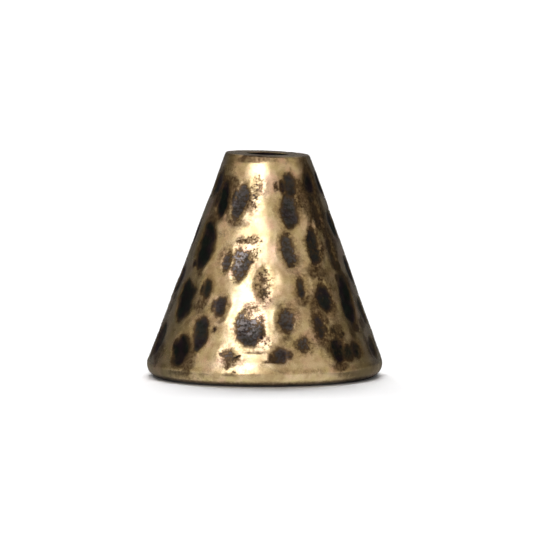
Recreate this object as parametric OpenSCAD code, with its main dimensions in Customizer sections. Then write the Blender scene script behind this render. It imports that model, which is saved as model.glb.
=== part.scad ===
// Hammered cone bead, cast in one piece.
// It stands on its open wide end. A cord or wire runs up the hollow and out of the hole in the top.
// Units are millimetres. +Z runs up the middle, the origin is on the floor under the top hole,
// and the front of the dent chart faces -Y.

/* [Cone] */
// Widest diameter, just above the floor
foot_d = 15; // [14.8:0.1:15.2]
// Height from the floor to the top face
height = 14.2; // [14:0.1:14.4]
// Slope of the flank, in degrees from upright
flank_angle = 20; // [19.8:0.1:20.2]
// Radius of the rounded outer edge of the foot
foot_round = 0.78; // [0.7:0.02:0.84]
// Radius of the rounded outer edge of the top face
top_round = 0.15; // [0.1:0.05:0.3]

/* [Hollow] */
// Diameter of the hole through the top
hole_d = 2.6; // [2.4:0.1:2.8]
// Length of the straight wall of that hole
hole_len = 1.5; // [1.2:0.1:1.8]
// Rounding where the hole breaks through the top face
hole_round = 0.12; // [0.08:0.02:0.2]
// Thickness of the flank, measured level
wall = 1.25; // [1.1:0.05:1.4]
// Diameter of the opening inside the foot
mouth_d = 12.3; // [12:0.1:12.5]
// Rounding of the inner edge of the foot
mouth_round = 0.24; // [0.2:0.02:0.3]

/* [Dents] */
// Depth of every dent, as a share of the charted depth
dent_depth = 1; // [0.9:0.05:1.1]

/* [Hidden] */
$fn = 96;

hole_r = hole_d / 2;
mouth_r = mouth_d / 2;
slope = tan(flank_angle);
past = 1; // how far a cutter runs past the face that it opens
flank_inset = 0.002; // how far the flank lies inside the line that touches both edge arcs
long_from = 1.3; // a dent longer than this, over its roundest form, is rolled by a wheel
overrun = 1.25; // length and width of a dent's cutter, over the dent's own
slice = 3; // height of a dent's cutter, over the dent's depth

// How far the dents of a back row stray: in turn, height, size and lean.
turn_stray = 1;
height_stray = 0.06;
size_stray = 0.07;
lean_stray = 6;

// Centres of the two edge roundings, and the ends of the straight flank between them.
foot_x = foot_d / 2 - foot_round;
flank_out = foot_x * cos(flank_angle) + foot_round * sin(flank_angle) + foot_round;
top_z = height - top_round;
top_x = (flank_out - top_round - top_z * sin(flank_angle)) / cos(flank_angle);
flank_foot = [foot_x + foot_round * cos(flank_angle), foot_round * (1 + sin(flank_angle))];
flank_top = [top_x + top_round * cos(flank_angle), top_z + top_round * sin(flank_angle)];
inset = flank_inset * [cos(flank_angle), sin(flank_angle)];

// Radius of the outer flank at a height.
function flank_r(z) = flank_foot[0] - (z - flank_foot[1]) * slope;

// The hollow narrows beside the flank, up to a short 45 degree shoulder under the hole.
hole_z = height - hole_len;
shoulder_z = (hole_r + hole_z + wall - flank_foot[0] - flank_foot[1] * slope) / (1 - slope);
shoulder_r = hole_r + hole_z - shoulder_z;
mouth_z = flank_foot[1] + (flank_foot[0] - wall - mouth_r) / slope;

// Dents on the front: turn to the right, height, half width, half length, depth, lean to the right.
front_dents = [
    [-28, 11.3, 0.60, 1.30, 0.13, 9],
    [-11, 12.4, 0.40, 0.60, 0.07, 0],
    [-49, 11.4, 0.55, 1.35, 0.12, -7],
    [-55, 8.5, 0.85, 1.80, 0.16, -3],
    [-59, 5.1, 0.90, 1.35, 0.15, -8],
    [-41, 5.9, 0.42, 0.85, 0.08, -6],
    [-28, 4.9, 0.55, 0.80, 0.10, 0],
    [-37.5, 3.3, 0.70, 1.15, 0.14, 0],
    [-49, 2.08, 0.86, 1.05, 0.14, 0],
    [-75, 2.5, 0.80, 1.20, 0.13, 9],
    [-29.5, 7.7, 0.45, 0.80, 0.08, 0],
    [-18.5, 7.6, 0.72, 1.20, 0.14, 0],
    [-1.5, 6.3, 0.50, 1.15, 0.08, 0],
    [-9.5, 3.7, 0.95, 1.40, 0.16, 0],
    [-19.5, 2.0, 0.55, 0.60, 0.08, 0],
    [8, 2.0, 0.58, 0.60, 0.09, 0],
    [20, 2.6, 0.58, 0.60, 0.08, 0],
    [12.5, 4.05, 0.60, 0.95, 0.12, 0],
    [25.5, 12.45, 0.55, 0.95, 0.11, 0],
    [21, 10.7, 0.70, 1.15, 0.14, 0],
    [17, 8.4, 0.55, 1.15, 0.11, -7],
    [23, 6.05, 0.42, 0.80, 0.07, 0],
    [53, 12.4, 0.62, 0.85, 0.12, 0],
    [52.5, 10.5, 0.50, 0.95, 0.09, 0],
    [58, 8.1, 0.42, 1.20, 0.08, 0],
    [39.5, 8.6, 0.53, 1.40, 0.11, 4],
    [39, 5.4, 0.65, 1.18, 0.12, -2],
    [32, 3.6, 0.48, 0.95, 0.08, -7],
    [59.5, 5.05, 0.85, 1.70, 0.15, 1],
    [41, 2.15, 0.66, 0.90, 0.12, 0],
    [54.5, 2.1, 0.62, 0.70, 0.10, 0],
    [75, 2.0, 0.70, 0.80, 0.11, 0]
];

// Rows of dents round the back: height, first turn, last turn, count, half width, half length, depth,
// and how far every other dent stands above or below the row.
back_rows = [
    [12.1, 80, 291, 9, 0.55, 0.85, 0.11, 0.24],
    [9.5, 76, 276, 10, 0.60, 1.05, 0.12, 0.24],
    [6.6, 80, 281, 12, 0.62, 1.02, 0.12, 0.24],
    [4.1, 79, 266, 13, 0.63, 0.94, 0.12, 0.22],
    [2.06, 90, 262, 13, 0.60, 0.60, 0.095, 0.12]
];

// A number from -1 to 1 that keeps the back rows from looking ruled.
function stray(i, k) = sin(137.5 * i + 61 * k);

// A ball or a wheel pressed into the flank. A round dent is a ball's. A long one is the rim of a
// wheel that rolls up the flank: the rim's own rounding gives the width, the wheel the length.
// Only the slice of ball or rim that is near the flank is drawn, so neighbours stay apart.
module dent(turn, z, half_w, half_l, depth, lean) {
    flank_curve = cos(flank_angle) / flank_r(z);
    across = 1 / (2 * depth / (half_w * half_w) - flank_curve);
    along = half_l * half_l / (2 * depth);
    is_long = along > long_from * across;
    reach = is_long ? along : across;
    rotate([0, 0, turn])
        translate([0, -flank_r(z), z])
            rotate([-flank_angle, 0, 0])
                rotate([0, lean, 0])
                    translate([0, depth - reach, 0])
                        if (is_long) rim_slice(along, across, half_w, half_l, depth);
                        else ball_slice(across, depth);
}

module rim_slice(along, across, half_w, half_l, depth) {
    sweep = asin(overrun * half_l / along);
    rotate([0, 90, 0])
        rotate([0, 0, 90 - sweep])
            rotate_extrude(angle = 2 * sweep)
                intersection() {
                    translate([along - across, 0])
                        circle(r = across);
                    translate([along - slice * depth, -overrun * half_w])
                        square([slice * depth + past, 2 * overrun * half_w]);
                }
}

module ball_slice(radius, depth) {
    rotate([-90, 0, 0])
        rotate_extrude()
            intersection() {
                circle(r = radius);
                translate([0, radius - slice * depth])
                    square([radius, slice * depth + past]);
            }
}

module front_set() {
    for (d = front_dents)
        dent(turn = d[0], z = d[1], half_w = d[2], half_l = d[3], depth = d[4] * dent_depth, lean = d[5]);
}

module back_set() {
    for (row = [0 : len(back_rows) - 1])
        for (i = [0 : back_rows[row][3] - 1])
            back_dent(row, i);
}

module back_dent(row, i) {
    b = back_rows[row];
    step = i % 2 == 0 ? b[7] : -b[7];
    dent(
        turn = b[1] + (b[2] - b[1]) * i / (b[3] - 1) + turn_stray * stray(i, row),
        z = b[0] + step + height_stray * stray(i + 3, row),
        half_w = b[4] * (1 + size_stray * stray(i + 5, row)),
        half_l = b[5] * (1 + size_stray * stray(i + 7, row)),
        depth = b[6] * dent_depth,
        lean = lean_stray * stray(i + 9, row)
    );
}

// Half of the outer outline: a straight flank between two rounded edges. The flank lies a hair
// inside the line that touches both arcs, so that it crosses each of them.
module outer_half() {
    polygon([
        [0, 0],
        [foot_x, 0],
        flank_foot - inset,
        flank_top - inset,
        [top_x, height],
        [0, height]
    ]);
    translate([foot_x, foot_round])
        circle(r = foot_round);
    translate([top_x, top_z])
        circle(r = top_round);
}

// Half of the hollow: straight mouth, cone, shoulder and hole.
module hollow_half() {
    polygon([
        [0, -past],
        [mouth_r, -past],
        [mouth_r, mouth_z],
        [shoulder_r, shoulder_z],
        [hole_r, hole_z],
        [hole_r, height + past],
        [0, height + past]
    ]);
    rounded_mouth(hole_r, height, hole_round, 1);
    rounded_mouth(mouth_r, 0, mouth_round, -1);
}

// What is taken away to round an opening's edge at radius r and height z, facing up (1) or down (-1).
module rounded_mouth(r, z, edge, up) {
    difference() {
        translate([r - edge, up > 0 ? z - edge : z - past])
            square([2 * edge, edge + past]);
        translate([r + edge, z - up * edge])
            circle(r = edge);
    }
}

module cone_bead() {
    color("darkgoldenrod")
        difference() {
            rotate_extrude()
                difference() {
                    outer_half();
                    hollow_half();
                }
            front_set();
            back_set();
        }
}

cone_bead();
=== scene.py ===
import math

import bmesh
import bpy
import numpy as np
from mathutils import Matrix, Vector, noise


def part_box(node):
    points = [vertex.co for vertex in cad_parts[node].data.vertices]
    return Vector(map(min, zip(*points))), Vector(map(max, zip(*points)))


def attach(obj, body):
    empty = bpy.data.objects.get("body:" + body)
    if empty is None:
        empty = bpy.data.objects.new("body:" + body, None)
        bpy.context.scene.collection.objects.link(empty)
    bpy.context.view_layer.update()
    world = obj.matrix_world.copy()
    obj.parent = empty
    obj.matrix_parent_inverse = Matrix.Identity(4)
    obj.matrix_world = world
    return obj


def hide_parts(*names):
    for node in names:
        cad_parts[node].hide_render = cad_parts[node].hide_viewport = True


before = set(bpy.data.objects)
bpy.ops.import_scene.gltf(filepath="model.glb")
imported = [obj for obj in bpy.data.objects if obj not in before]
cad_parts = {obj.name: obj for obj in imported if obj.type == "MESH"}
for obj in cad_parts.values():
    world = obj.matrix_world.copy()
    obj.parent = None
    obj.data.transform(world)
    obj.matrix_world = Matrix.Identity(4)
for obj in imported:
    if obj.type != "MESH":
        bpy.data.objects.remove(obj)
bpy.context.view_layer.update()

# Everything is in millimetres until the finished mesh is scaled to metres.
mm = 0.001
nodeName = "cone_bead"
boxLow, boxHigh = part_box(nodeName)

# The casting. Its outer size comes from the frame.
bead = {
    "footRadius": boxHigh.x / mm,
    "height": boxHigh.z / mm,
    "flankAngle": math.radians(20),
    "footRound": 0.78,
    "topRound": 0.15,
    "holeRadius": 1.3,
    "holeLength": 1.5,
    "holeRound": 0.12,
    "wall": 1.25,
    "mouthRadius": 6.15,
    "mouthRound": 0.24,
    "footSteps": 14,
    "crownSteps": 8,
    "edgeSteps": 4,
    "spinSteps": 480,
    "flankCuts": 131,
    "hollowCuts": 17,
    "shortCuts": 3,
    "mergeWithin": 0.0005,
}

# Front dents: turn to the right, height, half width, half length, depth, lean, then how dark each is,
# how broken up its blacking is, and its painted sheen: a lighter, glossier grey set where highlights
# fall.
frontDents = [
    (-28, 11.3, 0.60, 1.30, 0.13, 9, 0.86, 0.22, 0.36),
    (-11, 12.4, 0.40, 0.60, 0.07, 0, 0.42, 0.50, 0.40),
    (-49, 11.4, 0.55, 1.35, 0.12, -7, 1.00, 0.10, 0.00),
    (-55, 8.5, 0.85, 1.80, 0.16, -3, 1.00, 0.10, 0.00),
    (-59, 5.1, 0.90, 1.35, 0.15, -8, 1.00, 0.05, 0.00),
    (-41, 5.9, 0.42, 0.85, 0.08, -6, 0.84, 0.16, 0.05),
    (-28, 4.9, 0.55, 0.80, 0.10, 0, 0.88, 0.20, 0.20),
    (-37.5, 3.3, 0.70, 1.15, 0.14, 0, 0.95, 0.15, 0.10),
    (-49, 2.08, 0.86, 1.05, 0.14, 0, 1.00, 0.05, 0.00),
    (-75, 2.5, 0.80, 1.20, 0.13, 9, 0.95, 0.10, 0.00),
    (-29.5, 7.7, 0.45, 0.80, 0.08, 0, 0.76, 0.30, 0.40),
    (-18.5, 7.6, 0.72, 1.20, 0.14, 0, 0.78, 0.28, 0.46),
    (-1.5, 6.3, 0.50, 1.15, 0.08, 0, 0.47, 0.52, 0.10),
    (-9.5, 3.7, 0.95, 1.40, 0.16, 0, 0.90, 0.24, 0.34),
    (-19.5, 2.0, 0.55, 0.60, 0.08, 0, 0.62, 0.28, 0.40),
    (8, 2.0, 0.58, 0.60, 0.09, 0, 0.92, 0.14, 0.22),
    (20, 2.6, 0.58, 0.60, 0.08, 0, 0.74, 0.22, 0.40),
    (12.5, 4.05, 0.60, 0.95, 0.12, 0, 0.80, 0.22, 0.42),
    (25.5, 12.45, 0.55, 0.95, 0.11, 0, 0.84, 0.20, 0.15),
    (21, 10.7, 0.70, 1.15, 0.14, 0, 0.90, 0.16, 0.28),
    (17, 8.4, 0.55, 1.15, 0.11, -7, 0.82, 0.18, 0.38),
    (23, 6.05, 0.42, 0.80, 0.07, 0, 0.84, 0.22, 0.15),
    (53, 12.4, 0.62, 0.85, 0.12, 0, 0.95, 0.10, 0.00),
    (52.5, 10.5, 0.50, 0.95, 0.09, 0, 0.70, 0.20, 0.00),
    (58, 8.1, 0.42, 1.20, 0.08, 0, 0.75, 0.20, 0.00),
    (39.5, 8.6, 0.53, 1.40, 0.11, 4, 0.88, 0.26, 0.06),
    (39, 5.4, 0.65, 1.18, 0.12, -2, 0.97, 0.15, 0.04),
    (32, 3.6, 0.48, 0.95, 0.08, -7, 0.86, 0.22, 0.10),
    (59.5, 5.05, 0.85, 1.70, 0.15, 1, 1.00, 0.05, 0.00),
    (41, 2.15, 0.66, 0.90, 0.12, 0, 0.97, 0.15, 0.00),
    (54.5, 2.1, 0.62, 0.70, 0.10, 0, 0.92, 0.15, 0.00),
    (75, 2.0, 0.70, 0.80, 0.11, 0, 0.90, 0.10, 0.00),
]

# Back rows: height, first turn, last turn, count, half width, half length, depth, step up and down.
backRows = [
    (12.1, 80, 291, 9, 0.55, 0.85, 0.11, 0.24),
    (9.5, 76, 276, 10, 0.60, 1.05, 0.12, 0.24),
    (6.6, 80, 281, 12, 0.62, 1.02, 0.12, 0.24),
    (4.1, 79, 266, 13, 0.63, 0.94, 0.12, 0.22),
    (2.06, 90, 262, 13, 0.60, 0.60, 0.095, 0.12),
]
backStray = {
    "turn": 1,
    "height": 0.06,
    "size": 0.07,
    "lean": 6,
    "darkness": 1.02,
    "darknessStray": 0.10,
    "speckle": 0.22,
    # a little painted sheen, a lighter grey in the back dents' blacking
    "glossAndPaintedSheen": 0.04,
}

# How the dents and the metal between them wander from their charted form. A gap is the distance
# outwards from a dent's rim, and an edge of 1 is the charted rim itself.
hammering = {
    "insideFrom": 0.6,  # share of the wall between the flank and where the inside begins
    "holeEdgeFrom": 0.5,  # share of the hole's rounding that still counts as outside
    "rimSoftness": 0.30,
    "fadeFrom": 1.2,
    "reach": 2.4,
    "leastEdge": 0.01,
    "farGap": 9.0,
    "outlineWander": 0.20,
    "outlineGrain": 1.1,
    "rimWander": 0.11,
    "rimGrain": 2.8,
    "darkGaps": (-0.44, 0.30),
    "sheenGaps": (-0.22, 0.06),
    "speckleGaps": (0, 0.4),
    "plainSpeckle": 0.11,
    "lipHeight": 0.008,
    "lipGap": 0.22,
    "lipWidth": 0.15,
    "waveHeight": 0.042,
    "waveGrain": 0.42,
    "rippleHeight": 0.010,
    "rippleGrain": 1.3,
    "peelHeight": 0.003,
    "peelGrain": 3.4,
    "calmAboveFoot": (0.2, 1.2),
    "calmBelowCrown": (0.7, 0.1),
    "ridgeBand": (1.05, 0.5),  # height and spread of the ridge above the foot
    "ridgeWander": 0.09,
    "ridgeGrain": 0.35,
}

# Where oxide stays on the metal, where it is rubbed off, and where a highlight and shade are painted.
# The edges say how far from its middle a mark begins to fade and ends, as shares of its own size.
weathering = {
    "halo": 0.20,
    "haloGaps": (0.05, 0.60),
    "patinaCap": 0.50,
    "patinaEdges": (0.2, 1.6),
    "markEdges": (0.3, 1.25),
    "glintEdges": (0.3, 1.2),
    "markWander": 0.5,
    "markSpatter": 0.8,
    "rimWear": (0.40, 0.22, 0.6),  # gap, width and share of the rubbed band round a dent
    "paintedRidgeHighlight": (1.32, 0.22, 0.9),  # height, width and share of the lighter band on the ridge, a painted highlight
    "footBand": (0.98, 0.22),  # height and spread of the brown in the shelter of the ridge
    "footOxide": 0.17,
    "footMottle": 1.4,
    "footSpeckle": 0.13,
    "topFace": (0.30, 0.04, 0.30),  # begins and is full so far below the top, then its oxide
    "inside": 0.95,
    "paintedFootShade": (0.08, 0.50, 0.68),  # painted shade low on the foot: full and ends so far above the table, then its darkness
}

# Small marks: turn, height, half width, half length, lean, and the oxide there. Below 0 it is taken
# off, where a dent is worn, and at a few marks to bare brass as a painted highlight.
smallMarks = [
    (-11.9, 11.3, 0.36, 0.62, 0, 0.28),
    (9.5, 12.3, 0.28, 0.55, 0, 0.46),
    (-20.5, 9.05, 0.44, 0.46, 0, 0.54),
    (-13, 9.05, 0.80, 0.46, 0, 0.46),
    (-6, 8.9, 0.36, 0.36, 0, 0.40),
    (-16, 8.95, 0.50, 0.30, 0, 0.60),
    (-19.6, 6.55, 0.26, 0.36, 10, 0.45),
    (-29, 3.45, 0.30, 0.42, 20, 0.50),
    (-19.3, 1.25, 0.32, 0.15, 0, 0.42),
    (-15, 0.97, 0.30, 0.15, 0, 0.40),
    (1.5, 1.55, 0.32, 0.13, 0, 0.62),
    (35.3, 10.85, 0.20, 0.26, 0, 0.50),
    # The next two take the blacking off the dent's upper right where it shows light: partly wear,
    # partly a painted highlight.
    (-4.5, 4.4, 0.46, 0.62, 0, -0.34),
    (-9, 4.48, 0.76, 0.36, 0, -0.48),
    (-8.5, 4.95, 0.75, 0.42, 0, 0.48),
    (47.5, 1.90, 0.70, 0.85, 0, 0.88),
    (-20, 2.05, 0.74, 0.27, 0, 0.72),
    (-14.6, 1.86, 0.50, 0.12, -24, 0.80),
    (3.4, 1.85, 0.34, 0.40, 0, 0.72),
    (12.4, 1.98, 0.30, 0.42, 0, 0.74),
    (-21, 11.9, 0.40, 0.55, 0, 0.58),
    (-18.9, 1.35, 0.28, 0.42, 0, 0.62),
    (4.6, 1.60, 0.56, 0.15, 0, 0.80),
    (0.8, 1.58, 0.50, 0.11, 0, 0.60),
    (8.4, 1.28, 0.46, 0.14, 0, -0.60),
    (-15.5, 8.5, 0.34, 0.46, 0, -0.26),
    # The next two bare the brass in small spots as painted glints.
    (45, 9.95, 0.15, 0.32, 0, -0.60),
    (68.3, 4.2, 0.20, 0.32, 0, -0.60),
    (-7.5, 8.3, 0.45, 0.70, 0, 0.14),
    (-0.6, 2.75, 0.50, 0.55, 0, 0.14),
    (-17, 12.1, 0.44, 0.36, 0, 0.44),
    (-34.5, 11.6, 0.36, 0.90, 0, 0.76),
    (-58, 11.6, 0.35, 1.00, 0, 0.85),
    (-61, 7.4, 0.40, 0.50, 0, 0.80),
    (-54.5, 2.4, 0.35, 0.60, 0, 0.85),
    (-49, 1.50, 0.95, 0.62, 0, 0.95),
    (-27, 7.9, 0.40, 0.80, 0, 0.56),
    (18.5, 11.6, 0.25, 0.50, 0, 0.75),
    (31, 11.5, 0.22, 0.40, 0, 0.42),
    (10.4, 4.1, 0.24, 0.55, 0, 0.60),
    (13.4, 4.75, 0.40, 0.24, 0, 0.45),
    (16.5, 9.35, 0.40, 0.28, 0, 0.60),
    (18, 7.45, 0.42, 0.32, 0, 0.64),
    (36, 3.4, 0.28, 0.60, 0, 0.60),
    (39, 6.55, 0.40, 0.30, 0, 0.55),
    (61, 7.3, 0.45, 0.50, 0, 0.80),
    (55, 6.5, 0.35, 0.40, 0, 0.72),
    (61, 3.4, 0.50, 0.40, 0, 0.80),
    (50, 11.5, 0.45, 0.45, 0, 0.75),
    (46, 3.1, 0.50, 0.35, 0, 0.62),
    (40, 3.3, 0.30, 0.30, 0, 0.60),
    # This one bares brass on the ridge where it shows light: partly wear, partly a painted highlight.
    (21, 1.32, 0.50, 0.15, 0, -0.40),
    (16.5, 12.3, 0.30, 0.65, 0, 0.78),
    (-1.8, 3.42, 0.34, 0.78, 0, 0.76),
    (-10.5, 7.9, 0.30, 0.60, 0, 0.60),
    (-0.6, 5.65, 0.48, 0.42, 0, 0.62),
    (34, 5.4, 0.30, 0.80, 0, 0.62),
    (44, 5.3, 0.26, 0.80, 0, 0.62),
    (-44.5, 5.9, 0.25, 0.60, 0, 0.66),
    (-32.5, 4.9, 0.26, 0.60, 0, 0.70),
    (-22.8, 5.0, 0.20, 0.45, 0, -0.40),
    (-2.5, 4.2, 0.34, 0.42, 0, 0.60),
    (3, 6.6, 0.30, 0.60, 0, 0.34),
    (-19, 2.12, 0.40, 0.18, 0, 0.72),
    (104, 8.1, 0.30, 0.55, 8, 0.74),
    (113, 5.3, 0.46, 0.36, 0, 0.82),
    (150, 8.0, 0.30, 0.60, -8, 0.84),
    (186, 8.1, 0.28, 0.50, 0, 0.72),
    (198, 3.1, 0.50, 0.28, 0, 0.82),
    (213, 5.3, 0.30, 0.50, 6, 0.84),
    (247, 3.1, 0.36, 0.32, 0, 0.82),
    (262, 5.4, 0.40, 0.40, 0, 0.80),
]

# Brown patina left on the metal between the dents: turn, height, half width, half length, amount.
patina = [
    (60, 11.8, 0.55, 1.90, 0.45),
    (62, 9.0, 0.50, 1.60, 0.40),
    (55, 3.3, 0.35, 0.70, 0.50),
    (48, 1.9, 0.35, 0.60, 0.45),
    (-40, 11.6, 0.35, 1.50, 0.35),
    (-33, 8.3, 0.50, 0.90, 0.15),
    (-50, 13.2, 0.60, 0.80, 0.30),
    (-16, 13.97, 1.15, 0.19, 0.64),
    (-2, 14.20, 1.40, 0.12, 0.40),
    (30, 13.9, 0.90, 0.22, 0.26),
    (-62, 11.2, 0.36, 1.60, 0.34),
    (-65, 12.9, 0.36, 0.60, 0.30),
    (46, 8.6, 0.30, 1.20, 0.30),
    (42, 3.35, 0.50, 0.40, 0.36),
    (28.5, 10.6, 0.20, 0.90, 0.20),
    (-7, 8.35, 0.45, 0.75, 0.16),
    (1, 2.9, 0.40, 0.60, 0.12),
    (-38.5, 9.3, 0.40, 0.50, 0.26),
    (-51, 6.8, 0.34, 0.60, 0.34),
    (-82, 2.4, 0.70, 1.30, 0.50),
    (-43, 2.0, 0.25, 0.60, 0.35),
    (-15, 11.0, 0.42, 0.75, 0.40),
    (-3, 11.8, 0.50, 0.50, 0.16),
    (-38, 11.6, 0.30, 1.20, 0.60),
    (32, 3.7, 0.60, 1.15, 0.36),
    (33, 5.4, 0.80, 1.40, 0.14),
    (34.5, 3.2, 0.80, 0.90, 0.24),
    (36, 7.1, 0.60, 0.60, 0.16),
    (27, 7.8, 0.45, 0.80, 0.20),
    (46, 3.6, 0.60, 1.20, 0.34),
    (19, 7.1, 0.50, 0.50, 0.20),
    (36, 11.3, 0.36, 1.10, 0.30),
    (-45, 4.9, 0.40, 0.60, 0.20),
    (-42, 1.7, 0.45, 0.80, 0.42),
    (-26, 9.8, 0.60, 0.50, 0.24),
    (-70, 1.8, 0.70, 0.90, 0.55),
    (47, 6.2, 0.50, 1.20, 0.30),
    (41, 11.0, 0.32, 1.10, 0.45),
    (40, 6.95, 0.40, 0.50, 0.35),
    (-54, 10.3, 0.40, 0.50, 0.45),
    (68, 1.9, 0.40, 0.80, 0.35),
    (-41, 4.9, 0.50, 0.50, 0.36),
    (56, 11.5, 0.90, 1.70, 0.42),
    (60, 8.4, 0.70, 1.40, 0.40),
    (39, 8.6, 0.80, 1.50, 0.24),
    (32, 2.0, 0.50, 0.50, 0.28),
    (42, 1.15, 0.80, 0.32, 0.48),
    (-6, 2.14, 0.70, 0.12, 0.40),
    (-1, 1.30, 0.50, 0.30, 0.26),
    (-48, 1.08, 0.80, 0.20, 0.42),
    (-46, 0.72, 0.90, 0.13, 0.30),
    (-31, 0.74, 0.90, 0.12, 0.22),
    (-17, 0.78, 0.70, 0.18, 0.50),
    (-4, 0.76, 0.70, 0.14, 0.25),
    (-30, 10.2, 0.90, 0.40, 0.30),
    (11, 2.95, 0.40, 0.30, 0.24),
    (27, 5.0, 0.90, 0.90, 0.26),
    (-26, 3.7, 0.30, 0.70, 0.22),
    (72, 5.3, 0.40, 1.50, 0.30),
    (-1, 4.9, 0.35, 0.42, 0.16),
    (-31, 13.9, 0.60, 0.22, 0.54),
    (-2.5, 2.3, 0.60, 0.35, 0.18),
    (6, 5.2, 0.40, 0.40, 0.30),
    (5.5, 3.5, 0.30, 0.50, 0.18),
    (-75, 4.8, 0.40, 1.20, 0.35),
    (36, 4.15, 0.30, 0.40, 0.40),
    (66, 3.0, 0.40, 0.60, 0.30),
    (-45, 0.45, 1.60, 0.35, 0.30),
    (42, 0.50, 1.00, 0.35, 0.26),
    (66, 6.2, 0.40, 0.90, 0.30),
    (-25, 0.50, 1.00, 0.30, 0.15),
    (-40, 1.25, 0.80, 0.35, 0.32),
    (-24, 1.25, 0.80, 0.30, 0.24),
    (95, 5.3, 0.50, 0.80, 0.34),
    (100, 12.9, 0.60, 0.50, 0.30),
    (118, 8.1, 0.60, 0.90, 0.34),
    (122, 0.75, 1.40, 0.20, 0.28),
    (131, 3.0, 0.50, 0.50, 0.30),
    (140, 5.2, 0.60, 0.80, 0.34),
    (160, 10.8, 0.50, 1.00, 0.36),
    (172, 13.3, 0.90, 0.40, 0.30),
    (183, 3.1, 0.70, 0.60, 0.34),
    (195, 0.75, 1.50, 0.20, 0.28),
    (205, 7.9, 0.60, 1.00, 0.36),
    (215, 13.4, 0.80, 0.35, 0.28),
    (228, 11.0, 0.50, 0.90, 0.34),
    (236, 5.2, 0.60, 0.80, 0.30),
    (252, 3.0, 0.60, 0.70, 0.34),
    (265, 9.0, 0.40, 1.10, 0.36),
    (70, 3.6, 0.35, 0.50, 0.35),
    (-13, 1.6, 0.90, 0.55, 0.32),
]

# Painted glints, a lighter glossy grey in the blacking where highlights show: turn, height, half width,
# half length, sheen added.
paintedGlints = [
    (-5.5, 4.35, 0.55, 0.75, 0.85),
    (-9, 3.5, 0.80, 0.35, 0.30),
    (-21, 7.85, 0.45, 0.60, 0.75),
    (-14, 4.0, 0.45, 0.70, 0.60),
    (-9, 4.55, 0.70, 0.35, 0.90),
    (-12, 12.0, 0.35, 0.50, 0.35),
    (-18.5, 8.3, 0.45, 0.40, 0.50),
]

# Broad swells and hollows that bend the reflections: turn, height, half width, half length, rise.
swells = [
    (-14, 9.3, 1.30, 0.80, -0.075),
    (-11, 6.3, 0.90, 1.00, 0.050),
    (0, 6.4, 1.10, 1.15, -0.165),
    (-4, 8.2, 1.00, 0.90, -0.080),
    (-3, 3.2, 1.00, 0.90, -0.060),
    (-1, 4.4, 1.00, 0.70, -0.070),
    (-1, 2.2, 1.10, 0.70, -0.035),
    (-8.5, 13.2, 1.00, 0.60, -0.060),
    (-31, 3.6, 1.20, 1.50, 0.055),
    (-30, 1.4, 1.10, 0.50, 0.070),
    (13.5, 6.6, 0.95, 1.20, 0.085),
    (27, 1.4, 1.00, 0.50, 0.050),
]

# The casting isn't quite true: it leans to the right, and its top dips that way.
casting = {"lean": math.radians(0.81), "topDip": math.radians(2.2), "topDipFrom": 12.6}


def arcPoints(centreX, centreZ, radius, startDeg, endDeg, count):
    angles = [math.radians(startDeg + (endDeg - startDeg) * i / count) for i in range(count + 1)]
    return [(centreX + radius * math.cos(a), centreZ + radius * math.sin(a)) for a in angles]


def beadOutline():
    # The closed outline of the wall: up the outside, over the top, down the hole and the hollow.
    angle, footRound, topRound = bead["flankAngle"], bead["footRound"], bead["topRound"]
    holeRadius, holeRound, mouthRound = bead["holeRadius"], bead["holeRound"], bead["mouthRound"]
    slope = math.tan(angle)
    tilt = math.degrees(angle)
    footX = bead["footRadius"] - footRound
    flankOut = footX * math.cos(angle) + footRound * (1 + math.sin(angle))
    topZ = bead["height"] - topRound
    topX = (flankOut - topRound - topZ * math.sin(angle)) / math.cos(angle)
    foot = arcPoints(footX, footRound, footRound, -90, tilt, bead["footSteps"])
    crown = arcPoints(topX, topZ, topRound, tilt, 90, bead["crownSteps"])
    holeEdge = arcPoints(holeRadius + holeRound, bead["height"] - holeRound, holeRound,
                         90, 180, bead["edgeSteps"])
    mouthEdge = arcPoints(bead["mouthRadius"] + mouthRound, mouthRound, mouthRound,
                          180, 270, bead["edgeSteps"])
    flankX, flankZ = foot[-1]
    holeZ = bead["height"] - bead["holeLength"]
    shoulderZ = (holeRadius + holeZ + bead["wall"] - flankX - flankZ * slope) / (1 - slope)
    mouthZ = flankZ + (flankX - bead["wall"] - bead["mouthRadius"]) / slope
    hollow = [
        (holeRadius, holeZ),
        (holeRadius + holeZ - shoulderZ, shoulderZ),
        (bead["mouthRadius"], mouthZ),
    ]
    return foot, crown, holeEdge, hollow, mouthEdge


def spinBead():
    foot, crown, holeEdge, hollow, mouthEdge = beadOutline()
    points = foot + crown + holeEdge + hollow + mouthEdge
    bm = bmesh.new()
    ring = [bm.verts.new((x, 0, z)) for x, z in points]
    edges = [bm.edges.new((ring[i], ring[(i + 1) % len(ring)])) for i in range(len(ring))]
    flank = edges[len(foot) - 1]
    topFlat = edges[len(foot) + len(crown) - 1]
    hollowAt = len(foot) + len(crown) + len(holeEdge)
    holeWall, innerCone, mouthWall = edges[hollowAt - 1], edges[hollowAt + 1], edges[hollowAt + 2]
    bmesh.ops.subdivide_edges(bm, edges=[flank], cuts=bead["flankCuts"])
    bmesh.ops.subdivide_edges(bm, edges=[innerCone], cuts=bead["hollowCuts"])
    bmesh.ops.subdivide_edges(bm, edges=[topFlat, holeWall, mouthWall], cuts=bead["shortCuts"])
    bmesh.ops.spin(bm, geom=bm.verts[:] + bm.edges[:], cent=(0, 0, 0), axis=(0, 0, 1),
                   angle=math.tau, steps=bead["spinSteps"], use_merge=True)
    bmesh.ops.remove_doubles(bm, verts=bm.verts[:], dist=bead["mergeWithin"])
    bmesh.ops.recalc_face_normals(bm, faces=bm.faces[:])
    mesh = bpy.data.meshes.new("coneBead")
    bm.to_mesh(mesh)
    bm.free()
    return mesh


def stray(i, row):
    # A number from -1 to 1 that keeps the back rows from looking ruled.
    return math.sin(math.radians(137.5 * i + 61 * row))


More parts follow.
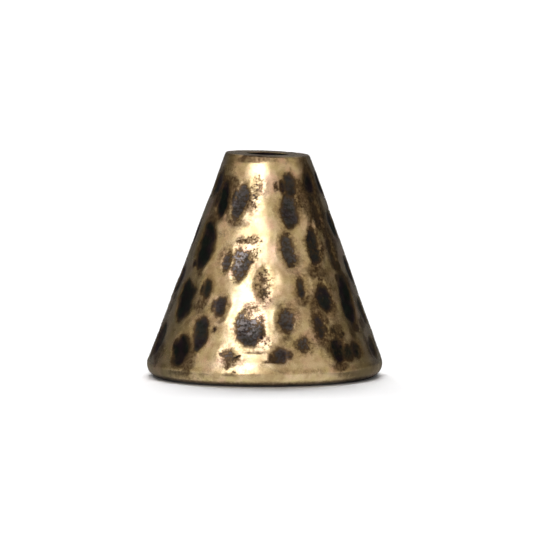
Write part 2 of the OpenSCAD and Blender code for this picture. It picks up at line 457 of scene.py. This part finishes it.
def backDents():
    dents = []
    for row, (z, first, last, count, halfWidth, halfLength, depth, step) in enumerate(backRows):
        for i in range(count):
            dents.append((
                first + (last - first) * i / (count - 1) + backStray["turn"] * stray(i, row),
                z + (step if i % 2 == 0 else -step) + backStray["height"] * stray(i + 3, row),
                halfWidth * (1 + backStray["size"] * stray(i + 5, row)),
                halfLength * (1 + backStray["size"] * stray(i + 7, row)),
                depth,
                backStray["lean"] * stray(i + 9, row),
                backStray["darkness"] + backStray["darknessStray"] * stray(i + 11, row),
                backStray["speckle"],
                backStray["glossAndPaintedSheen"],
            ))
    return dents


def smoothStep(low, high, value):
    share = np.clip((value - low) / (high - low), 0, 1)
    return share * share * (3 - 2 * share)


def bell(value, middle, width):
    return np.exp(-((value - middle) / width) ** 2)


def noiseField(points, grain, seed):
    offset = Vector((17.3 * seed, 5.1 * seed, 9.7 * seed))  # any step that keeps the seeds apart
    return np.array([noise.noise(Vector(p) * grain + offset) for p in points])


def placeVertices(points):
    # Each vertex's turn and height, the flank's radius at that height, and if it is on the outside.
    radius = np.hypot(points[:, 0], points[:, 1])
    height = points[:, 2].copy()
    flankRadius = bead["footRadius"] - bead["footRound"] * (1 - math.cos(bead["flankAngle"]))
    flankFrom = bead["footRound"] * (1 + math.sin(bead["flankAngle"]))
    onFlank = flankRadius - (height - flankFrom) * math.tan(bead["flankAngle"])
    behindFlank = radius < onFlank - hammering["insideFrom"] * bead["wall"]
    belowTop = height < bead["height"] - hammering["holeEdgeFrom"] * bead["holeRound"]
    return {
        "turn": np.arctan2(points[:, 0], -points[:, 1]),
        "height": height,
        "onFlank": onFlank,
        "outer": ~(behindFlank & belowTop),
    }


def fromMark(place, turnDeg, z, leanDeg=0):
    # Where each vertex lies from a mark's middle: across it and up along it.
    away = place["turn"] - math.radians(turnDeg)
    aside = place["onFlank"] * np.sin(away)
    along = (place["height"] - z) / math.cos(bead["flankAngle"])
    lean = math.radians(leanDeg)
    across = aside * math.cos(lean) - along * math.sin(lean)
    upward = aside * math.sin(lean) + along * math.cos(lean)
    return across, upward, np.cos(away) > 0


def markShare(place, spot, edges, uneven=1, leanDeg=0):
    # How much of a mark each vertex has: 1 in its middle, 0 past its end, on the far side and inside.
    turnDeg, z, halfWidth, halfLength = spot
    across, upward, facing = fromMark(place, turnDeg, z, leanDeg)
    edge = np.hypot(across / halfWidth, upward / halfLength) * uneven
    return np.where(place["outer"] & facing, 1 - smoothStep(*edges, edge), 0)


def pressDents(place, grains):
    # How deep the dents are, how clear of them each vertex is, and the chart of their blacking and its
    # painted sheen.
    outer = place["outer"]
    sunk = np.zeros(len(outer))
    oxide = np.zeros(len(outer))
    glossAndPaintedSheen = np.zeros(len(outer))
    clear = np.full(len(outer), hammering["farGap"])
    speckle = np.full(len(outer), hammering["plainSpeckle"])
    uneven = 1 + hammering["outlineWander"] * grains["wander"] + hammering["rimWander"] * grains["rims"]
    for dent in frontDents + backDents():
        turnDeg, z, halfWidth, halfLength, depth, leanDeg, darkness, broken, paintedSheenShare = dent
        across, upward, facing = fromMark(place, turnDeg, z, leanDeg)
        edge = np.hypot(across / halfWidth, upward / halfLength) * uneven
        gap = np.hypot(across, upward) * (1 - 1 / np.maximum(edge, hammering["leastEdge"]))
        near = outer & facing & (edge < hammering["reach"])
        # A bowl that levels out past its rim.
        level = 1 - edge ** 2
        bowl = 0.5 * (level + np.sqrt(level ** 2 + hammering["rimSoftness"] ** 2))
        fade = 1 - smoothStep(hammering["fadeFrom"], hammering["reach"], edge)
        sunk = np.where(near, np.maximum(sunk, depth * bowl * fade), sunk)
        dark = darkness * (1 - smoothStep(*hammering["darkGaps"], gap))
        oxide = np.where(near, np.maximum(oxide, dark), oxide)
        # The painted sheen: the blacking turns a lighter, glossier grey, most in the dents where
        # highlights fall.
        paintedShine = paintedSheenShare * (1 - smoothStep(*hammering["sheenGaps"], gap))
        glossAndPaintedSheen = np.where(near, np.maximum(glossAndPaintedSheen, paintedShine), glossAndPaintedSheen)
        clear = np.where(outer & facing, np.minimum(clear, gap), clear)
        around = np.where(near, 1 - smoothStep(*hammering["speckleGaps"], gap), 0)
        speckle = speckle + (broken - speckle) * around
    return sunk, clear, {"oxide": oxide, "speckle": speckle, "glossAndPaintedSheen": glossAndPaintedSheen}


def weatherMetal(place, grains, clear, chart):
    outer, height = place["outer"], place["height"]
    oxide, speckle, glossAndPaintedSheen = chart["oxide"], chart["speckle"], chart["glossAndPaintedSheen"]

    # A brown halo is left round each dent, and patina lies between them.
    halo = np.where(outer, weathering["halo"] * (1 - smoothStep(*weathering["haloGaps"], clear)), 0)
    uneven = 1 + weathering["markWander"] * grains["wander"]
    for *spot, amount in patina:
        halo = halo + amount * markShare(place, spot, weathering["patinaEdges"], uneven)
    oxide = np.maximum(oxide, np.minimum(halo, weathering["patinaCap"]))

    for *spot, leanDeg, amount in smallMarks:
        share = markShare(place, spot, weathering["markEdges"], uneven, leanDeg)
        if amount > 0:
            oxide = np.maximum(oxide, amount * share)
        else:
            oxide = np.maximum(oxide + amount * share, 0)
        speckle = np.maximum(speckle, weathering["markSpatter"] * (1 - abs(amount)) * share)
    # The painted glints add more sheen to the blacking.
    for *spot, amount in paintedGlints:
        glossAndPaintedSheen = glossAndPaintedSheen + amount * markShare(place, spot, weathering["glintEdges"])

    # The metal beyond a dent's rim is rubbed bright, and the band on the ridge is lightened as a
    # painted highlight.
    rimGap, rimWidth, rimShare = weathering["rimWear"]
    ridgeHeight, ridgeWidth, ridgeShare = weathering["paintedRidgeHighlight"]
    wearAndRidgeHighlight = np.maximum(rimShare * bell(clear, rimGap, rimWidth),
                      ridgeShare * bell(height, ridgeHeight, ridgeWidth))
    wearAndRidgeHighlight = np.where(outer, np.clip(wearAndRidgeHighlight * (1 + grains["ripples"]), 0, 1), 0)

    # Brown lies in the shelter of the ridge.
    band = np.where(outer, bell(height, *weathering["footBand"]), 0)
    mottled = 1 + weathering["footMottle"] * grains["ripples"]
    oxide = np.maximum(oxide, weathering["footOxide"] * band * mottled)
    speckle = np.maximum(speckle, weathering["footSpeckle"] * band)

    # Nobody polishes the top face, the hole and the inside. The lowest band of the foot is darkened as
    # painted shade where it sits on the table.
    topFrom, topFull, topOxide = weathering["topFace"]
    topFace = smoothStep(bead["height"] - topFrom, bead["height"] - topFull, height) * topOxide
    inside = np.where(outer, 0, weathering["inside"])
    underFull, underEnd, footShadeDarkness = weathering["paintedFootShade"]
    paintedFootShade = (1 - smoothStep(underFull, underEnd, height)) * footShadeDarkness
    oxide = np.maximum.reduce([oxide, topFace, inside, paintedFootShade])
    return {"oxide": oxide, "speckle": speckle, "glossAndPaintedSheen": glossAndPaintedSheen, "wearAndRidgeHighlight": wearAndRidgeHighlight}


def moveMetal(points, place, grains, sunk, clear):
    outer, height = place["outer"], place["height"]
    push = hammering["waveHeight"] * grains["waves"] + hammering["rippleHeight"] * grains["ripples"]
    push = push + hammering["peelHeight"] * grains["peel"]
    push = push + hammering["lipHeight"] * bell(clear, hammering["lipGap"], hammering["lipWidth"])
    for turnDeg, z, halfWidth, halfLength, rise in swells:
        across, upward, facing = fromMark(place, turnDeg, z)
        bulge = np.exp(-((across / halfWidth) ** 2 + (upward / halfLength) ** 2))
        push = push + np.where(facing, rise * bulge, 0)

    # The waves die out at the foot and the crown, so that the rims stay round.
    crownFrom, crownTo = (bead["height"] - below for below in hammering["calmBelowCrown"])
    calm = smoothStep(*hammering["calmAboveFoot"], height)
    calm = calm * (1 - smoothStep(crownFrom, crownTo, height))
    inward = np.where(outer, sunk - push * calm, 0)
    points[:, 0] -= inward * np.sin(place["turn"]) * math.cos(bead["flankAngle"])
    points[:, 1] -= inward * -np.cos(place["turn"]) * math.cos(bead["flankAngle"])
    points[:, 2] -= inward * math.sin(bead["flankAngle"])

    # The ridge above the foot wanders up and down.
    ridge = noiseField(points, hammering["ridgeGrain"], 5) * bell(height, *hammering["ridgeBand"])
    points[:, 2] += np.where(outer, hammering["ridgeWander"] * ridge, 0)

    crownPart = smoothStep(casting["topDipFrom"], bead["height"], height)
    points[:, 2] -= math.tan(casting["topDip"]) * points[:, 0] * crownPart
    points[:, 0] += math.tan(casting["lean"]) * points[:, 2]


def hammerBead(mesh):
    points = np.empty(len(mesh.vertices) * 3)
    mesh.vertices.foreach_get("co", points)
    points = points.reshape(-1, 3)
    place = placeVertices(points)
    grains = {
        "wander": noiseField(points, hammering["outlineGrain"], 1),
        "rims": noiseField(points, hammering["rimGrain"], 6),
        "waves": noiseField(points, hammering["waveGrain"], 2),
        "ripples": noiseField(points, hammering["rippleGrain"], 3),
        "peel": noiseField(points, hammering["peelGrain"], 4),
    }
    sunk, clear, chart = pressDents(place, grains)
    chart = weatherMetal(place, grains, clear, chart)
    moveMetal(points, place, grains, sunk, clear)
    mesh.vertices.foreach_set("co", (points * mm).ravel())
    for name, values in chart.items():
        mesh.attributes.new(name, "FLOAT", "POINT").data.foreach_set("value", values)
    mesh.update()
    print("cone bead:", len(points), "vertices,", len(frontDents) + len(backDents()), "dents")


# The finish: bright brass on the raised metal, brown at the edge of each dent, near black inside, and a
# lighter grey metal in some blacking as painted sheen.
finish = {
    "olive": (0.74, 0.61, 0.32, 1),
    "brass": (0.84, 0.66, 0.41, 1),
    "blush": (0.88, 0.61, 0.43, 1),
    "tintStops": (0.40, 0.54, 0.68),
    # lighter brass for the rubbed rims and for the painted highlight on the ridge
    "rubbedAndHighlit": (0.93, 0.80, 0.55, 1),
    "tarnished": (0.54, 0.40, 0.21, 1),
    "edgeBrown": (0.135, 0.086, 0.043, 1),
    "mossBlack": (0.003, 0.008, 0.005, 1),
    "soot": (0.004, 0.004, 0.004, 1),
    "plumBlack": (0.012, 0.005, 0.009, 1),
    "blackStops": (0.42, 0.50, 0.60),
    # grey metal mixed into the blacking as painted sheen
    "paintedSheenGunmetal": (0.205, 0.188, 0.178, 1),
    "speckleNoise": (4.1, 3.0),  # scale and detail, as in each of these
    "fineNoise": (8.0, 3.0),
    "tarnishNoise": (0.45, 2.0),
    "tintNoise": (1.1, 4.0),
    "mottleNoise": (1.5, 5.0),
    "scratchNoise": (1.0, 3.0),
    "scratchStretch": (0.35, 0.35, 7.0),  # long round the bead, close up its height
    "chartedSpread": 2.1,  # how far the grain breaks up the oxide, times the charted speckle
    "plainSpread": 0.12,
    "streakSpread": 0.10,
    "mottleSpread": 0.55,
    "brownRange": (0.04, 0.62),
    "blackRange": (0.44, 1.00),
    "shineRange": (0.10, 0.6),
    "shineGrain": 0.5,
    "shineStreaks": 0.35,
    "shineBreaks": (-0.10, 0.10, 0.15, 1.4),  # grain from and to, then the share of the shine
    "dullMottle": (0.42, 0.68, 0.55),  # noise from and to, then how much it dulls the brass
    "dullTarnish": (0.38, 0.66, 0.6),
    "dullGrain": 0.5,
    "wearAndHighlightBrightens": 0.5,
    "polishedRoughness": 0.24,
    "oxideRoughness": 0.50,
    "roughRange": (0.15, 0.75),
    "shineSmooths": 0.15,
    "streakRoughness": 0.15,
    "oxideGloss": 0.09,
    "metalRange": (0.2, 1.0, 1.0, 0.08),  # blacking from and to, then how metallic it is
    "reliefInBlack": 0.8,
    "reliefInBrass": 0.2,
    "streakRelief": 0.30,
    "reliefStrength": 0.6,
    "grainDepth": 0.012,
}


def addNode(tree, kind, **sockets):
    node = tree.nodes.new(kind)
    for name, value in sockets.items():
        node.inputs[name].default_value = value
    return node


def mathNode(tree, operation, first, second=None, third=None, clamp=False):
    node = tree.nodes.new("ShaderNodeMath")
    node.operation = operation
    node.use_clamp = clamp
    for socket, value in zip(node.inputs, (first, second, third)):
        if value is None:
            continue
        if isinstance(value, (int, float)):
            socket.default_value = value
        else:
            tree.links.new(value, socket)
    return node.outputs[0]


def timesNode(tree, first, second, clamp=False):
    return mathNode(tree, "MULTIPLY", first, second, clamp=clamp)


def timesPlusNode(tree, first, second, added, clamp=False):
    return mathNode(tree, "MULTIPLY_ADD", first, second, added, clamp=clamp)


def rangeNode(tree, value, fromMin, fromMax, toMin=0.0, toMax=1.0):
    node = tree.nodes.new("ShaderNodeMapRange")
    node.interpolation_type = "SMOOTHSTEP"
    tree.links.new(value, node.inputs["Value"])
    node.inputs["From Min"].default_value = fromMin
    node.inputs["From Max"].default_value = fromMax
    node.inputs["To Min"].default_value = toMin
    node.inputs["To Max"].default_value = toMax
    return node.outputs[0]


def noiseNode(tree, coords, settings):
    scale, detail = settings
    node = addNode(tree, "ShaderNodeTexNoise", Scale=scale, Detail=detail)
    tree.links.new(coords, node.inputs["Vector"])
    return node.outputs["Fac"]


def fromMiddle(tree, value):
    return mathNode(tree, "SUBTRACT", value, 0.5)


def mixNode(tree, factor, under, over):
    node = tree.nodes.new("ShaderNodeMix")
    node.data_type = "RGBA"
    tree.links.new(factor, node.inputs["Factor"])
    tree.links.new(under, node.inputs[6])
    if isinstance(over, tuple):
        node.inputs[7].default_value = over
    else:
        tree.links.new(over, node.inputs[7])
    return node.outputs[2]


def rampNode(tree, value, positions, colours):
    node = tree.nodes.new("ShaderNodeValToRGB")
    elements = node.color_ramp.elements
    for element, end in zip(elements, (0, -1)):
        element.position = positions[end]
        element.color = colours[end]
    for position, colour in zip(positions[1:-1], colours[1:-1]):
        elements.new(position).color = colour
    tree.links.new(value, node.inputs["Fac"])
    return node.outputs["Color"]


def chartNode(tree, name):
    node = tree.nodes.new("ShaderNodeAttribute")
    node.attribute_name = name
    return node.outputs["Fac"]


def brassNoises(tree):
    coords = tree.nodes.new("ShaderNodeTexCoord").outputs["Object"]
    inMillimetres = addNode(tree, "ShaderNodeMapping", Scale=(1 / mm, 1 / mm, 1 / mm))
    tree.links.new(coords, inMillimetres.inputs["Vector"])
    place = inMillimetres.outputs["Vector"]
    drawnOut = addNode(tree, "ShaderNodeMapping", Scale=finish["scratchStretch"])
    tree.links.new(place, drawnOut.inputs["Vector"])
    speckle = noiseNode(tree, place, finish["speckleNoise"])
    fine = noiseNode(tree, place, finish["fineNoise"])
    scratches = noiseNode(tree, drawnOut.outputs["Vector"], finish["scratchNoise"])
    return {
        "fine": fine,
        "grain": mathNode(tree, "ADD", fromMiddle(tree, speckle), fromMiddle(tree, fine)),
        "scratches": scratches,
        "streaks": fromMiddle(tree, scratches),
        "tarnish": noiseNode(tree, place, finish["tarnishNoise"]),
        "tint": noiseNode(tree, place, finish["tintNoise"]),
        "mottle": noiseNode(tree, place, finish["mottleNoise"]),
    }


def blackingMasks(tree, noises):
    # The charted oxide is broken up at its edges by the speckles, and in its blacks by the mottle.
    spread = chartNode(tree, "speckle")
    spread = timesPlusNode(tree, spread, finish["chartedSpread"], finish["plainSpread"])
    broken = timesPlusNode(tree, noises["grain"], spread, chartNode(tree, "oxide"))
    broken = timesPlusNode(tree, noises["streaks"], finish["streakSpread"], broken)
    patchy = timesPlusNode(tree, fromMiddle(tree, noises["mottle"]), finish["mottleSpread"], broken)
    brown = rangeNode(tree, broken, *finish["brownRange"])
    black = rangeNode(tree, patchy, *finish["blackRange"])
    grainy = timesPlusNode(tree, noises["grain"], finish["shineGrain"],
                           timesNode(tree, noises["streaks"], finish["shineStreaks"]))
    # The painted sheen: where the blacking is charted to shine, it turns lighter grey and more
    # metallic.
    paintedShine = timesNode(tree, rangeNode(tree, black, *finish["shineRange"]), chartNode(tree, "glossAndPaintedSheen"))
    paintedShine = timesNode(tree, paintedShine, rangeNode(tree, grainy, *finish["shineBreaks"]), clamp=True)
    return broken, brown, black, paintedShine


def brassColour(tree, noises, brown, black, paintedShine):
    tints = rampNode(tree, noises["tint"], finish["tintStops"],
                     (finish["olive"], finish["brass"], finish["blush"]))
    blacks = rampNode(tree, noises["tint"], finish["blackStops"],
                      (finish["mossBlack"], finish["soot"], finish["plumBlack"]))
    *mottleRange, mottleShare = finish["dullMottle"]
    *tarnishRange, tarnishShare = finish["dullTarnish"]
    dulled = timesNode(tree, rangeNode(tree, noises["tarnish"], *tarnishRange), tarnishShare)
    dulled = timesPlusNode(tree, rangeNode(tree, noises["mottle"], *mottleRange), mottleShare, dulled)
    dulled = timesPlusNode(tree, noises["grain"], finish["dullGrain"], dulled)
    # The rubbed rims and the painted highlight on the ridge lighten the brass.
    wearAndRidgeHighlight = chartNode(tree, "wearAndRidgeHighlight")
    dulled = timesPlusNode(tree, wearAndRidgeHighlight, -finish["wearAndHighlightBrightens"], dulled, clamp=True)
    colour = mixNode(tree, timesNode(tree, wearAndRidgeHighlight, finish["wearAndHighlightBrightens"]), tints, finish["rubbedAndHighlit"])
    colour = mixNode(tree, dulled, colour, finish["tarnished"])
    colour = mixNode(tree, brown, colour, finish["edgeBrown"])
    colour = mixNode(tree, black, colour, blacks)
    # The painted sheen turns the blacking a lighter grey metal.
    return mixNode(tree, paintedShine, colour, finish["paintedSheenGunmetal"])


def antiquedBrass():
    material = bpy.data.materials.new("antiquedBrass")
    material.use_nodes = True
    tree = material.node_tree
    shader = tree.nodes["Principled BSDF"]
    shader.inputs["Specular IOR Level"].default_value = finish["oxideGloss"]
    noises = brassNoises(tree)
    broken, brown, black, paintedShine = blackingMasks(tree, noises)
    colour = brassColour(tree, noises, brown, black, paintedShine)
    tree.links.new(colour, shader.inputs["Base Color"])

    rough = rangeNode(tree, broken, *finish["roughRange"],
                      finish["polishedRoughness"], finish["oxideRoughness"])
    rough = timesPlusNode(tree, paintedShine, -finish["shineSmooths"], rough)
    rough = timesPlusNode(tree, noises["streaks"], finish["streakRoughness"], rough, clamp=True)
    tree.links.new(rough, shader.inputs["Roughness"])
    metal = mathNode(tree, "MAXIMUM", rangeNode(tree, black, *finish["metalRange"]), paintedShine)
    tree.links.new(metal, shader.inputs["Metallic"])

    depth = timesPlusNode(tree, black, finish["reliefInBlack"], finish["reliefInBrass"])
    relief = timesNode(tree, noises["fine"], depth)
    relief = timesPlusNode(tree, noises["scratches"], finish["streakRelief"], relief)
    bump = addNode(tree, "ShaderNodeBump", Strength=finish["reliefStrength"],
                   Distance=finish["grainDepth"] * mm)
    tree.links.new(relief, bump.inputs["Height"])
    tree.links.new(bump.outputs["Normal"], shader.inputs["Normal"])
    return material


def makeBead():
    mesh = spinBead()
    hammerBead(mesh)
    mesh.polygons.foreach_set("use_smooth", [True] * len(mesh.polygons))
    piece = bpy.data.objects.new("coneBead", mesh)
    bpy.context.scene.collection.objects.link(piece)
    mesh.materials.append(antiquedBrass())
    return piece


# The camera stands where the photograph's did: a long lens, five degrees up.
cameraSetup = {
    "aim": Vector((0.132, 0, 6.976)),
    "distance": 450,
    "elevation": math.radians(5),
    "lens": 477.2,
    "sensor": 36,
    "clipStart": 0.01,
    "clipEnd": 10,
}


def placeCamera():
    data = bpy.data.cameras.new("camera")
    data.lens = cameraSetup["lens"]
    data.sensor_width = cameraSetup["sensor"]
    data.sensor_fit = "HORIZONTAL"
    data.clip_start = cameraSetup["clipStart"]
    data.clip_end = cameraSetup["clipEnd"]
    camera = bpy.data.objects.new("camera", data)
    away = Vector((0, -math.cos(cameraSetup["elevation"]), math.sin(cameraSetup["elevation"])))
    turned = (-away).to_track_quat("-Z", "Y").to_matrix().to_4x4()
    spot = Matrix.Translation((cameraSetup["aim"] + away * cameraSetup["distance"]) * mm)
    camera.matrix_world = spot @ turned
    bpy.context.scene.collection.objects.link(camera)
    bpy.context.scene.camera = camera


# The studio. Turns are to the right of the front and heights above the horizon, in degrees.
softboxes = [
    {"turn": -23, "height": 22, "halfTurn": 18, "halfHeight": 27, "edge": 24, "strength": 2.5,
     "colour": (1.0, 0.98, 1.07)},
    {"turn": -5, "height": 19, "halfTurn": 95, "halfHeight": 36, "edge": 30, "strength": 0.42,
     "colour": (1.0, 0.87, 0.72)},
    {"turn": 0, "height": 10, "halfTurn": 128, "halfHeight": 40, "edge": 36, "strength": 0.07,
     "colour": (1.0, 0.84, 0.45)},
    {"turn": 180, "height": 8, "halfTurn": 48, "halfHeight": 25, "edge": 20, "strength": 0.040,
     "colour": (0.75, 0.9, 1.2)},
    {"turn": 180, "height": 5, "halfTurn": 16, "halfHeight": 12, "edge": 10, "strength": 0.07,
     "colour": (1.0, 0.9, 0.7)},
    {"turn": 180, "height": 52, "halfTurn": 60, "halfHeight": 14, "edge": 12, "strength": 0.65,
     "colour": (1.0, 0.98, 0.95)},
]
room = {"dark": (0.068, 0.062, 0.060, 1), "evenLight": 0.31, "backdrop": 1.0}

# The lamp over the table stands behind the bead, so its soft shadow falls forwards.
tableLamp = {"turn": 184, "height": 54, "halfTurn": 38, "halfHeight": 15, "edge": 12, "strength": 9.2}


def turnNode(tree, x, y):
    # The turn to the right of the front, in degrees, of a place or a direction.
    return mathNode(tree, "DEGREES", mathNode(tree, "ARCTAN2", x, timesNode(tree, y, -1)))


def softboxLight(tree, turn, height, box):
    gapTurn = mathNode(tree, "WRAP", mathNode(tree, "SUBTRACT", turn, box["turn"]), 180, -180)
    gapTurn = mathNode(tree, "ABSOLUTE", gapTurn)
    gapHeight = mathNode(tree, "ABSOLUTE", mathNode(tree, "SUBTRACT", height, box["height"]))
    edge = box["edge"] / 2
    beside = rangeNode(tree, gapTurn, box["halfTurn"] - edge, box["halfTurn"] + edge, 1.0, 0.0)
    above = rangeNode(tree, gapHeight, box["halfHeight"] - edge, box["halfHeight"] + edge, 1.0, 0.0)
    return timesNode(tree, timesNode(tree, beside, above), box["strength"])


def softboxColours(tree, turn, height):
    # What the metal sees of the room: the softboxes on top of the dark.
    total = tree.nodes.new("ShaderNodeRGB").outputs[0]
    total.default_value = room["dark"]
    for box in softboxes:
        tint = tree.nodes.new("ShaderNodeVectorMath")
        tint.operation = "MULTIPLY_ADD"
        tint.inputs[0].default_value = box["colour"]
        tree.links.new(softboxLight(tree, turn, height, box), tint.inputs[1])
        tree.links.new(total, tint.inputs[2])
        total = tint.outputs[0]
    return total


def lightRoom():
    world = bpy.data.worlds.new("studio")
    bpy.context.scene.world = world
    world.use_nodes = True
    world.cycles.sampling_method = "NONE"
    tree = world.node_tree
    tree.nodes.clear()
    split = tree.nodes.new("ShaderNodeSeparateXYZ")
    tree.links.new(tree.nodes.new("ShaderNodeTexCoord").outputs["Generated"], split.inputs[0])
    x, y, z = split.outputs
    turn = turnNode(tree, x, y)
    height = mathNode(tree, "DEGREES", mathNode(tree, "ARCSINE", z))

    # Mirror rays see the softboxes, soft ones the lamp and even light, and the camera the backdrop.
    white = (1, 1, 1, 1)
    reflected = tree.nodes.new("ShaderNodeBackground")
    tree.links.new(softboxColours(tree, turn, height), reflected.inputs["Color"])
    even = addNode(tree, "ShaderNodeBackground", Color=white)
    lamp = mathNode(tree, "ADD", softboxLight(tree, turn, height, tableLamp), room["evenLight"])
    tree.links.new(lamp, even.inputs["Strength"])
    backdrop = addNode(tree, "ShaderNodeBackground", Color=white, Strength=room["backdrop"])
    rays = tree.nodes.new("ShaderNodeLightPath").outputs
    glossy = tree.nodes.new("ShaderNodeMixShader")
    seen = tree.nodes.new("ShaderNodeMixShader")
    tree.links.new(rays["Is Glossy Ray"], glossy.inputs[0])
    tree.links.new(even.outputs[0], glossy.inputs[1])
    tree.links.new(reflected.outputs[0], glossy.inputs[2])
    tree.links.new(rays["Is Camera Ray"], seen.inputs[0])
    tree.links.new(glossy.outputs[0], seen.inputs[1])
    tree.links.new(backdrop.outputs[0], seen.inputs[2])
    output = tree.nodes.new("ShaderNodeOutputWorld")
    tree.links.new(seen.outputs[0], output.inputs["Surface"])


# A painted pool of light: for reflection rays the table glows, bright in front of the bead and dim
# behind, with painted shade round the bead's foot.
tableTop = {
    "halfSize": 600,
    "albedo": (0.90, 0.895, 0.90, 1),
    "roughness": 0.9,
    "poolColour": (1.0, 0.96, 0.90, 1),
    "poolStrength": 0.78,
    "poolMiddle": -3,  # turn of the pool's middle, in degrees
    "poolTurns": (34, 62),  # turns away from there at which it begins to dim and is down to poolDim
    "poolDim": 0.22,
    "farPool": (9, 30, 0.5),  # between these distances turns shrink to this share, so the pool widens
    "paintedContactShade": (6.5, 7.7),  # the painted shade under the bead ends between these distances from its middle
}


def paintedLightPool(tree, shader):
    split = tree.nodes.new("ShaderNodeSeparateXYZ")
    tree.links.new(tree.nodes.new("ShaderNodeTexCoord").outputs["Object"], split.inputs[0])
    x, y = split.outputs[0], split.outputs[1]
    squares = mathNode(tree, "ADD", mathNode(tree, "POWER", x, 2), mathNode(tree, "POWER", y, 2))
    away = mathNode(tree, "SQRT", squares)
    aside = mathNode(tree, "SUBTRACT", turnNode(tree, x, y), tableTop["poolMiddle"])
    aside = mathNode(tree, "ABSOLUTE", aside)
    farFrom, farTo, farShare = tableTop["farPool"]
    aside = timesNode(tree, aside, rangeNode(tree, away, farFrom * mm, farTo * mm, 1.0, farShare))
    pool = rangeNode(tree, aside, *tableTop["poolTurns"], 1.0, tableTop["poolDim"])
    contactFrom, contactTo = tableTop["paintedContactShade"]
    clear = rangeNode(tree, away, contactFrom * mm, contactTo * mm)
    # The painted glow, seen only by reflection rays; the camera and soft light see a plain table.
    paintedGlow = addNode(tree, "ShaderNodeEmission", Color=tableTop["poolColour"])
    tree.links.new(timesNode(tree, timesNode(tree, pool, clear), tableTop["poolStrength"]),
                   paintedGlow.inputs["Strength"])
    mixed = tree.nodes.new("ShaderNodeMixShader")
    tree.links.new(tree.nodes.new("ShaderNodeLightPath").outputs["Is Glossy Ray"], mixed.inputs[0])
    tree.links.new(shader.outputs[0], mixed.inputs[1])
    tree.links.new(paintedGlow.outputs[0], mixed.inputs[2])
    tree.links.new(mixed.outputs[0], tree.nodes["Material Output"].inputs["Surface"])


def layTable():
    bm = bmesh.new()
    bmesh.ops.create_grid(bm, x_segments=1, y_segments=1, size=tableTop["halfSize"] * mm)
    mesh = bpy.data.meshes.new("tableTop")
    bm.to_mesh(mesh)
    bm.free()
    floor = bpy.data.objects.new("tableTop", mesh)
    bpy.context.scene.collection.objects.link(floor)
    material = bpy.data.materials.new("paleTableWithPaintedPool")
    material.use_nodes = True
    shader = material.node_tree.nodes["Principled BSDF"]
    shader.inputs["Base Color"].default_value = tableTop["albedo"]
    shader.inputs["Roughness"].default_value = tableTop["roughness"]
    shader.inputs["Specular IOR Level"].default_value = 0
    paintedLightPool(material.node_tree, shader)
    mesh.materials.append(material)


placeCamera()
lightRoom()
bpy.context.scene.view_settings.view_transform = "Standard"
print("camera and studio placed")

layTable()
print("table laid")

piece = makeBead()
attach(piece, "root")
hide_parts(nodeName)
print("bead finished")
